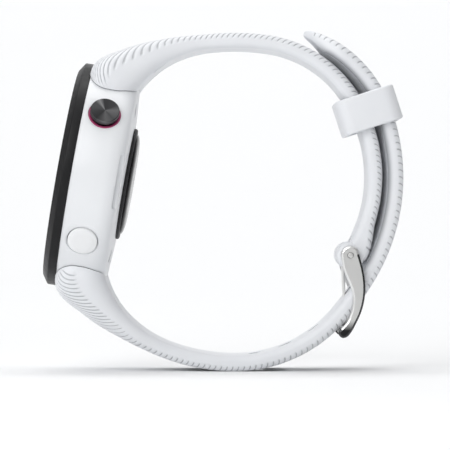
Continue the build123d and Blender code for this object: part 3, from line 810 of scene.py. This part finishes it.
def strap_lines(root, band, thickness, side, length, flare):
    """Distances with the outer line, inner line, width and corner radius at each."""
    knots = [0.0, 1.5, 3.0]
    values = []
    for distance in knots:
        point, heading = along(band, distance)
        left = np.array([-math.sin(heading), math.cos(heading)]) * side * thickness / 2
        values.append([*(point + left), *(point - left), STRAP_WIDTH, EDGE_RADIUS])
    for outer, inner, width, radius in reversed(root):
        middle = (values[0][0] + values[0][2]) / 2, (values[0][1] + values[0][3]) / 2
        own = (outer[0] + inner[0]) / 2, (outer[1] + inner[1]) / 2
        knots.insert(0, knots[0] - math.dist(middle, own))
        values.insert(0, [*outer, *inner, width, radius])
    at = np.arange(knots[0], 0, 0.1)
    table = smooth_line(knots, values, at)
    rows = []
    on_band = np.arange(0, length + 0.05, 0.1)
    for distance in on_band:
        point, heading = along(band, distance)
        left = np.array([-math.sin(heading), math.cos(heading)]) * side
        outer = point + left * (thickness / 2 + flare[0] * smooth_step((distance - length + 7.0) / 7.0))
        inner = point - left * (thickness / 2 + flare[1] * smooth_step((distance - length + 5.0) / 5.0))
        rows.append([*outer, *inner, STRAP_WIDTH, EDGE_RADIUS])
    return np.concatenate([at, on_band]), np.vstack([table, rows])


# Columns of half a cross-section: (part, fraction) from the middle of the outer face, over the
# corner, down the side and back to the middle of the inner face.
HALF_SECTION = ([("outer", f) for f in np.linspace(0, 1, 7)[:-1]]
                + [("corner", f) for f in np.linspace(0, 1, 11)[:-1]]
                + [("side", f) for f in np.linspace(0, 1, 7)[:-1]]
                + [("inner corner", f) for f in np.linspace(0, 1, 8)[:-1]]
                + [("inner", f) for f in np.linspace(0, 1, 6)])


def section_point(part, fraction, half_width, thickness, radius):
    """Distance from the middle plane and depth below the outer face."""
    radius = np.minimum(np.minimum(radius, thickness / 2 - 0.02), half_width - 0.02)
    flat = half_width - radius
    if part == "outer":
        return flat * fraction, 0 * flat
    if part == "corner":
        a = fraction * math.pi / 2
        return flat + radius * math.sin(a), radius * (1 - math.cos(a))
    if part == "side":
        return half_width, radius + (thickness - 2 * radius) * fraction
    if part == "inner corner":
        a = fraction * math.pi / 2
        return flat + radius * math.cos(a), thickness - radius * (1 - math.sin(a))
    return flat * (1 - fraction), thickness + 0 * flat


def groove_reach(distance, extra):
    """How deep down the side the grooves go; deeper beside the case."""
    return BASE_REACH + extra * (1 - smooth_step((distance - 2.0) / 14.0))


def groove_shape(surface, distance):
    """Reach, curved sweep and straight lean of the grooves at distances from the seam."""
    reach = groove_reach(distance, surface.extra_reach)
    swing = surface.curl * (reach / BASE_REACH) ** 1.35 * surface.sweep
    lean = surface.lean * (0.35 + 1.5 * smooth_step((reach - BASE_REACH) / 1.9)) * surface.sweep
    return reach, swing, lean


class StrapSurface:
    """The strap's outside as points over (distance, column)."""

    def __init__(self, root, band, thickness, side, length, tail, flare=(0.0, 0.0)):
        self.distances, self.table = strap_lines(root, band, thickness, side, length, flare)
        self.length = length
        self.tail = tail
        self.sweep = -side
        grooves = UPPER_GROOVES if side > 0 else LOWER_GROOVES
        self.extra_reach, self.curl, self.lean, self.pitch = grooves

    def line(self, distance):
        return np.stack([np.interp(distance, self.distances, self.table[:, k]) for k in range(6)], -1)

    def point(self, distance, column, sign, inset=0.0):
        """Points on one column at distances, moved inward by inset."""
        values = self.line(distance)
        outer, inner = values[..., 0:2], values[..., 2:4]
        half_width, radius = values[..., 4] / 2, values[..., 5]
        thickness = np.linalg.norm(inner - outer, axis=-1)
        inward = (inner - outer) / thickness[..., None]
        pinch = 0.0 * distance
        if self.tail:
            rest = np.clip((distance - (self.length - self.tail)) / self.tail, 0, 1)
            half_width = half_width * np.sqrt(np.maximum(1 - rest ** 2, 0.0004))
            near = np.clip((distance - (self.length - TIP_LENGTH)) / TIP_LENGTH, 0, 1)
            pinch = (thickness / 2 - 0.05) * (1 - np.sqrt(np.maximum(1 - near ** 2, 0.0)))
        across, depth = section_point(*column, half_width - inset, thickness - 2 * (inset + pinch),
                                      np.maximum(radius - inset, 0.05))
        depth = depth + inset + pinch
        if self.tail and column[0] == "inner":
            extra = SWELL_EXTRA * (1 - smooth_step((distance - SWELL_SPAN[0] - 4.0) / 6.0))
            swell = plateau(distance, *SWELL_SPAN) * (SWELL_HEIGHT + extra)
            depth = depth + swell * smooth_step(1.6 * column[1])
        middle = outer + inward * depth[..., None]
        return np.stack([middle[..., 0], sign * across, middle[..., 1]], -1)

    def depth(self, distance, column):
        """Depth of a column below the outer face, and the strap's thickness."""
        values = self.line(distance)
        thickness = np.linalg.norm(values[..., 2:4] - values[..., 0:2], axis=-1)
        return section_point(*column, values[..., 4] / 2, thickness, values[..., 5])[1], thickness


def case_radius_at(z):
    """Radius of the case wall, with its rounded back edge, at a level of the head."""
    drop = np.clip((-8.0 - z) / 3.0, 0, 1)
    radius = SEAM_RADIUS - 2.0 * (1 - np.sqrt(1 - drop ** 2))
    return np.where(z < CASE_BACK, 0.0, radius)


def inside_case(points):
    """Positive where a point lies inside the case wall."""
    offset = points - FRONT
    return case_radius_at(offset @ HEAD_Z) - np.hypot(offset @ HEAD_X, offset @ HEAD_Y)


def seam_distances(surface, columns):
    """The distance at which each column comes out of the case wall."""
    dense = np.arange(surface.distances[0] + 0.5, 4.0, SEAM_STEP)
    seam = []
    for column, sign in columns:
        buried = inside_case(surface.point(dense, column, sign))
        within = np.nonzero(buried > 0)[0]
        k = within[-1] if len(within) else 0
        t = np.clip(buried[k] / (buried[k] - buried[k + 1]), 0, 1)
        seam.append(dense[k] + t * SEAM_STEP)
    return np.array(seam)


def strap_rows(surface, seam_outer, first_groove, last_groove):
    """Rows along the strap: distance, share of a groove's depth, inset and painted shade."""
    rows = list(SEAM_ROWS)
    # the pitch counts between the grooves' outer starts on the upper strap, inner ends on the lower
    trial = np.linspace(-14.0, surface.length - seam_outer + 10.0, 1000)
    reach, swing, lean = groove_shape(surface, trial)
    trial_ends = np.maximum.accumulate(trial + swing + lean * reach) if surface.sweep > 0 else trial
    groove_end = first_groove
    distance = seam_outer + np.interp(groove_end, trial_ends, trial)
    while distance < last_groove:
        groove_end += GROOVE_PITCH * np.interp(groove_end, *surface.pitch)
        following = seam_outer + np.interp(groove_end, trial_ends, trial)
        rows += [(distance + offset, depth, 0.0, 0.0) for offset, depth in GROOVE_ROWS]
        rows.append(((distance + following) / 2, 0.0, 0.0, 0.0))
        distance = max(following, distance + MIN_GROOVE_STEP)
    end = surface.length
    tip = TIP_LENGTH if surface.tail else 0.0
    while distance < end - tip - 0.3:
        rows.append((distance, 0.0, 0.0, 0.0))
        distance += ROW_STEP
    if surface.tail:
        rows += [(end - tip * (1 - math.sin(a)), 0.0, 0.0, 0.0) for a in np.linspace(0, 1.5, 9)]
    else:
        rows.append((end, 0.0, 0.0, 0.0))
    return np.array(rows)


def strap_grid(surface, columns, seam, rows):
    """Points and painted shade over rows and columns."""
    row_distance, row_groove, row_inset, row_painted_shade = rows.T
    from_seam = row_distance - seam[0]
    calm_end = 1 - smooth_step((row_distance - (surface.length - 5.0)) / 4.0)
    reach, swing, lean = groove_shape(surface, from_seam)
    # on the upper strap the grooves don't reach as far down the side close to the seam
    ends = reach if surface.tail else reach * (0.35 + 0.65 * smooth_step(from_seam / 6.0))

    grid = np.zeros((len(rows), len(columns), 3))
    painted_shade = np.zeros((len(rows), len(columns)))
    for j, (column, sign) in enumerate(columns):
        depth, thickness = surface.depth(np.maximum(row_distance, seam[j]), column)
        across = np.sqrt(np.clip(depth / reach, 0, 1))
        shift = swing * (1 - (1 - across) ** 2) + lean * np.minimum(depth, reach)
        if column[0] == "outer":
            shift = shift - surface.sweep * 0.35 * (1 - column[1] ** 2)
        beyond = smooth_step((depth - reach) / np.maximum(thickness - reach, 0.3))
        target = row_distance + shift * (1 - beyond) * calm_end
        # rows that would fall inside the case crowd together at the seam and lose their groove
        crowded = np.exp(np.minimum((target - seam[j] - NEAR_SEAM) / NEAR_SEAM, 0.0))
        at = np.where(crowded < 1, seam[j] + NEAR_SEAM * crowded, target)
        at[:len(SEAM_ROWS)] = seam[j] + row_distance[:len(SEAM_ROWS)]
        at = np.maximum.accumulate(at)
        fade = (1 - smooth_step((depth - ends + 0.3) / 0.3)) * smooth_step(crowded * 1.6 - 0.6)
        if column[0] in ("inner corner", "inner"):
            fade = 0 * fade
        groove = row_groove * fade
        at = np.minimum(at, surface.length)
        grid[:, j] = surface.point(at, column, sign)
        sunk = surface.point(at, column, sign, GROOVE_DEPTH)
        grid[:, j] += (sunk - grid[:, j]) * (groove + row_inset / GROOVE_DEPTH)[:, None]
        # painted shade: darker in the grooves and in the rows along the seam at the case
        painted_shade[:, j] = np.clip(groove * GROOVE_PAINTED_SHADE + row_painted_shade, 0, 1)
        # painted shade of the slit between the straps, on the lower strap's inner corner
        if surface.tail and column[0] == "inner corner":
            painted_shade[:, j] += SLIT_PAINTED_SHADE * plateau(at, *SLIT_SHADE_SPAN) * smooth_step(column[1] * 1.4)
    return grid, painted_shade


def strap_ends(grid):
    """Points and faces that close both ends; the end against the case follows its wall."""
    count = grid.shape[1]
    total = grid.shape[0] * count
    faces = []
    extra = []
    centre = grid[0].mean(axis=0)
    previous = list(range(count))
    for t in (0.35, 0.7):
        ring = grid[0] + (centre - grid[0]) * t
        offset = ring - FRONT
        x, y, z = offset @ HEAD_X, offset @ HEAD_Y, offset @ HEAD_Z
        wall = np.maximum(case_radius_at(np.maximum(z, CASE_BACK)), 17.0)
        y_new = np.sign(y) * np.sqrt(np.maximum(wall ** 2 - x ** 2, 1.0))
        ring = FRONT + np.outer(x, HEAD_X) + np.outer(y_new, HEAD_Y) + np.outer(z, HEAD_Z)
        start = total + len(extra)
        extra += list(ring)
        current = list(range(start, start + count))
        for j in range(count):
            n = (j + 1) % count
            faces.append((previous[n], previous[j], current[j], current[n]))
        previous = current
    offset = centre - FRONT
    x, y, z = offset @ HEAD_X, offset @ HEAD_Y, offset @ HEAD_Z
    extra.append(head_point(x, math.copysign(math.sqrt(SEAM_RADIUS ** 2 - x ** 2), y), z))
    for j in range(count):
        faces.append((previous[(j + 1) % count], previous[j], total + len(extra) - 1))
    last = total - count
    extra.append(grid[-1].mean(axis=0))
    for j in range(count):
        faces.append((last + j, last + (j + 1) % count, total + len(extra) - 1))
    return extra, faces


def strap_mesh(name, surface, first_groove, last_groove):
    """Rows follow the grooves, which fan out beside the case and sweep over the edges."""
    columns = [(part, 1) for part in HALF_SECTION]
    columns += [(part, -1) for part in reversed(HALF_SECTION[1:-1])]
    seam = seam_distances(surface, columns)
    rows = strap_rows(surface, seam[0], first_groove, last_groove)
    grid, painted_shade = strap_grid(surface, columns, seam, rows)
    extra, end_faces = strap_ends(grid)
    vertices = np.vstack([grid.reshape(-1, 3), extra])
    painted_shades = np.concatenate([painted_shade.reshape(-1), np.zeros(len(extra))])

    mesh = bpy.data.meshes.new(name)
    faces = tube_faces(len(rows), len(columns)) + end_faces
    mesh.from_pydata((vertices * MM).tolist(), [], faces)
    # the groove attribute carries the painted shade of the grooves, the seam and the slit
    attribute = mesh.attributes.new("groove", "FLOAT", "POINT")
    attribute.data.foreach_set("value", painted_shades.astype(np.float32))
    clean_mesh(mesh, 2e-6)
    shade(mesh, 60.0)
    mesh.materials.append(MATERIAL["white_silicone"])
    return in_scene(name, mesh)


def bar_cutters(side, material):
    """The two notches on the inner face of a root, for a spring-bar tool."""
    cutters = []
    plane = (head_point(0, side * 20.9, -9.9), HEAD_Z, HEAD_Y, HEAD_X)
    outline = rectangle(5.5, 2.0, 0.4, (-2.5, 0.0), 3)
    for edge in (1, -1):
        low, high = sorted(edge * y for y in NOTCH_SPAN)
        cutters.append(prism("notch", outline, plane, low, high, material))
    return cutters


def build_upper_strap():
    length = band_length(UPPER_BAND)
    surface = StrapSurface(UPPER_ROOT, UPPER_BAND, UPPER_THICKNESS, 1, length - 0.6, 0.0, (1.45, -0.1))
    strap = strap_mesh("upper_strap_skin", surface, 0.3, length - 2.0)
    material = MATERIAL["white_silicone"]
    outline = arc(PIN, 2.35, 60, 310, 36) + [np.array([24.55, 18.75]), np.array([24.5, 20.4])]
    barrel = prism("barrel", outline, SIDE_PLANE, -STRAP_WIDTH / 2, STRAP_WIDTH / 2, material)
    bevel(barrel, 0.7, 4, 60.0)
    cut(strap, [barrel], "UNION")
    cutters = [prism("slot", arc(PIN, 3.4, 0, 360, 49)[:-1], SIDE_PLANE, -2.2, 2.2, material)]
    cutters += bar_cutters(1, material)
    cut(strap, cutters)
    shade(strap.data, 50.0)
    place(strap, "root", "white_silicone", "upper_strap")


def build_lower_strap():
    length = band_length(LOWER_BAND)
    surface = StrapSurface(LOWER_ROOT, LOWER_BAND, LOWER_THICKNESS, -1, length, TAIL_LENGTH,
                           (0.0, -1.4))
    strap = strap_mesh("lower_strap_skin", surface, -0.8, length - 1.6)
    material = MATERIAL["white_silicone"]
    cutters = []
    for number in range(-3, 8):
        if number == 0:
            continue
        point, heading = along(LOWER_BAND, ENGAGED + number * HOLE_PITCH)
        forward = np.array([math.cos(heading), 0, math.sin(heading)])
        across = np.array([-math.sin(heading), 0, math.cos(heading)])
        plane = (np.array([point[0], 0, point[1]]), np.array([0, 1.0, 0]), forward, across)
        cutters.append(prism("hole", rectangle(4.4, 2.2, 1.09, steps=8), plane, -2.4, 2.4, material))
    engaged = [(21.0, 15.5), (22.6, 15.5), (24.0, 7.6), (23.9, 5.5), (21.75, 5.5), (21.5, 8.4)]
    cutters.append(prism("engaged_hole", rounded(engaged, 0.2, 2), SIDE_PLANE, -2.2, 2.2, material))
    cutters += bar_cutters(-1, material)
    cut(strap, cutters)
    shade(strap.data, 50.0)
    place(strap, "root", "white_silicone", "lower_strap")


def build_keeper():
    """A soft band around both straps."""
    material = MATERIAL["white_silicone"]
    u_axis = np.array([math.cos(KEEPER_TILT), 0, math.sin(KEEPER_TILT)])
    v_axis = np.array([-math.sin(KEEPER_TILT), 0, math.cos(KEEPER_TILT)])
    plane = (KEEPER_PLACE, u_axis, v_axis, np.array([0, -1.0, 0]))
    across = (KEEPER_PLACE, u_axis, np.array([0, 1.0, 0]), v_axis)
    outline = rectangle(10.65, 21.0, 2.2, steps=8, centre=(0.02, 0))
    body = prism("keeper_band", outline, across, -KEEPER_HALF_LENGTH, KEEPER_HALF_LENGTH, material)
    bevel(body, 0.35, 4, 40.0)
    cut(body, [prism("opening", rectangle(8.5, 8.0, centre=(0.2, 0)), plane, -9.3, 9.3, material)])
    bevel(body, 0.12, 2, 60.0)
    place(body, "keeper", "white_silicone", "keeper")


# ------------------------------------------------------------------ buckle
ARM_RIGHT = [(23.5, 21.0), (24.4, 17.73), (24.72, 15.58), (24.72, 13.43), (24.4, 11.55), (23.9, 9.97),
             (23.15, 8.39), (22.35, 6.94), (21.5, 6.0), (20.9, 5.85)]
ARM_LEFT = [(20.62, 19.6), (20.91, 18.04), (21.48, 16.44), (22.05, 15.14), (22.42, 14.14), (22.62, 12.7),
            (22.55, 11.55), (22.19, 10.11), (21.48, 8.53), (20.68, 7.67), (20.2, 7.15)]


def fine(points, count):
    """More points along a smooth curve through the given ones."""
    points = np.array(points, float)
    knots = np.concatenate([[0], np.cumsum(np.linalg.norm(np.diff(points, axis=0), axis=1))])
    return list(smooth_line(knots, points, np.linspace(0, knots[-1], count)))


def arm_outline(inset):
    """Outline of a side arm, moved inward."""
    head = arc(PIN, 1.65 - inset, 30, 200, 28)
    foot = [np.array(p) for p in ((20.2, 7.15), (20.08, 6.75), (20.2, 6.35), (20.5, 6.02), (20.9, 5.85))]
    points = head + fine(ARM_LEFT, 30)[:-1] + foot[:-1] + fine(ARM_RIGHT, 30)[::-1]
    if inset == 0:
        return points
    moved = list(points)
    count = len(points)
    for k in range(len(head), count):
        direction = points[(k + 1) % count] - points[k - 1]
        direction /= np.linalg.norm(direction)
        moved[k] = points[k] + inset * np.array([-direction[1], direction[0]])
    return moved


def build_arm(side, material):
    """One side arm: a flat face with a bevelled edge all round."""
    layers = [(0.0, BUCKLE_INNER), (0.0, BUCKLE_OUTER - 0.32), (0.12, BUCKLE_OUTER - 0.12),
              (0.36, BUCKLE_OUTER)]
    vertices = []
    for inset, height in layers:
        for x, z in arm_outline(inset):
            vertices.append((x, -side * height, z))
    count = len(arm_outline(0.0))
    faces = [tuple(range(count)), tuple(range(len(vertices) - 1, len(vertices) - count - 1, -1))]
    return make_object("arm", vertices, faces + tube_faces(len(layers), count), material, 20.0)


def build_buckle():
    """Two curved side arms with polished edges, joined by a crossbar. The edges are brighter than the
    faces, partly as a painted highlight; those facing +x below the pin, and the foot, carry a painted dark
    reflection.
    """
    material = MATERIAL["buckle_metal"]
    frame_piece = join("buckle_arms", [build_arm(1, material), build_arm(-1, material)])
    hole = cross_lathe("hole", [(0, -12), (0.55, -12), (0.55, 12), (0, 12)], PIN, material, 64)
    cut(frame_piece, [hole])
    bar = cross_lathe("bar", [(0, -9.4), (BAR_RADIUS, -9.4), (BAR_RADIUS, 9.4), (0, 9.4)],
                      (BAR[0] - 0.15, BAR[1]), material, 48)
    cut(frame_piece, [bar], "UNION")
    shade(frame_piece.data, 20.0)
    frame_piece.data.materials.clear()
    for name in ("buckle_metal", "buckle_polish_painted_highlight", "buckle_painted_dark_reflection"):
        frame_piece.data.materials.append(MATERIAL[name])
    for polygon in frame_piece.data.polygons:
        centre = polygon.center / MM
        flat = abs(polygon.normal.y) > 0.9
        # flat faces satin, the other faces polished in a brighter colour that is partly a painted highlight
        polygon.material_index = 0 if flat else 1
        # painted dark reflection on the edges facing +x below the pin
        if not flat and polygon.normal.x > 0.2 and centre.z < 20.5:
            polygon.material_index = 2
        # and a painted dark reflection on the foot at the crossbar
        if centre.z < 7.3:
            polygon.material_index = 2
    place(frame_piece, "buckle_frame", "buckle_metal", "buckle_frame")

    pin_profile = rounded([(0, -10.5), (PIN_RADIUS, -10.5), (PIN_RADIUS, 10.5), (0, 10.5)],
                          [0, 0.06, 0.06, 0], 3, False)
    pin = cross_lathe("pin_rod", pin_profile, PIN, MATERIAL["pin_metal"], 48)
    place(pin, "root", "steel", "buckle_pin")


def build_tongue():
    material = MATERIAL["buckle_metal"]
    path = fine([(21.2, 18.0), (21.35, 14.0), (21.75, 10.5), (21.9, 8.0)], 16)
    left = [p - np.array([0.25, 0]) for p in path]
    right = [p + np.array([0.25, 0]) for p in path]
    outline = left + right[::-1] + [PIN + (-0.3, -0.9), PIN + (-1.0, -0.6)]
    strip = prism("strip", outline, SIDE_PLANE, -1.7, 1.7, material)
    eye = cross_lathe("eye", [(0.56, -1.7), (1.2, -1.7), (1.2, 1.7), (0.56, 1.7)], PIN, material, 64,
                      closed=True)
    cut(strip, [eye], "UNION")
    bevel(strip, 0.1, 2, 50.0)
    strip.name = "tongue_strip"
    place(strip, "buckle_tongue", "buckle_metal", "buckle_tongue")


build_upper_strap()
build_lower_strap()
build_keeper()
build_buckle()
build_tongue()


# ------------------------------------------------------------------ stage, light, camera
SUBJECT = (0.0, 0.0, 0.03)
# Lights, in metres: name, place, target, size and power.
LIGHTS = [("front_softbox", (-0.17, -0.36, 0.26), SUBJECT, 0.3, 1.02),
          ("left_softbox", (-0.65, -0.1, 0.12), SUBJECT, 0.35, 0.7),
          ("top_softbox", (0.0, -0.1, 0.6), SUBJECT, 0.5, 0.6),
          ("backdrop_light", (0.0, 0.5, 1.2), (0.0, 1.4, 0.2), 1.2, 12.0)]
WORLD_STRENGTH = 0.30
CAMERA_DISTANCE = 650 * MM
PHOTO_WIDTH = 450                        # pixels
PHOTO_SCALE = 5.67                       # pixels per millimetre at the object


def build_stage():
    """A pale floor that curves up into a backdrop."""
    pale = (0.93, 0.935, 0.94)
    paper = new_material("backdrop_paper", pale, 0.7)
    vary_color(paper, noise(paper, 3.0), pale, (0.92, 0.925, 0.935))
    profile = [(-3.0, 0.0), (-1.0, 0.0), (0.6, 0.0)]
    profile += [(0.6 + 0.9 * math.sin(a), 0.9 * (1 - math.cos(a)))
                for a in np.linspace(0.1, math.pi / 2, 16)]
    profile += [(1.5, 3.0)]
    vertices = [(x, y, z) for x in (-3.0, 3.0) for y, z in profile]
    count = len(profile)
    faces = [(k, k + 1, count + k + 1, count + k) for k in range(count - 1)]
    mesh = bpy.data.meshes.new("backdrop")
    mesh.from_pydata(vertices, [], faces)
    shade(mesh, 60.0)
    mesh.materials.append(paper)
    in_scene("backdrop", mesh)


def area_light(name, location, target, size, power):
    light = bpy.data.lights.new(name, "AREA")
    light.shape = "RECTANGLE"
    light.size = size
    light.size_y = size
    light.energy = power
    lamp = in_scene(name, light)
    lamp.location = location
    direction = Vector(target) - Vector(location)
    lamp.rotation_euler = direction.to_track_quat("-Z", "Y").to_euler()


def build_light():
    world = bpy.data.worlds.new("studio")
    world.use_nodes = True
    background = world.node_tree.nodes["Background"]
    background.inputs["Color"].default_value = (1.0, 1.0, 1.0, 1.0)
    background.inputs["Strength"].default_value = WORLD_STRENGTH
    bpy.context.scene.world = world
    for settings in LIGHTS:
        area_light(*settings)


def build_camera():
    view_width = PHOTO_WIDTH / PHOTO_SCALE * MM
    camera_data = bpy.data.cameras.new("camera")
    camera_data.sensor_width = 36.0
    camera_data.lens = camera_data.sensor_width * CAMERA_DISTANCE / view_width
    camera_data.clip_start = 0.01
    camera_data.clip_end = 20.0
    camera = in_scene("camera", camera_data)
    camera.location = (0.4 * MM, -CAMERA_DISTANCE, 25.5 * MM)
    camera.rotation_euler = (math.radians(90), 0, 0)
    bpy.context.scene.camera = camera


build_stage()
build_light()
build_camera()
bpy.context.scene.view_settings.view_transform = "Standard"
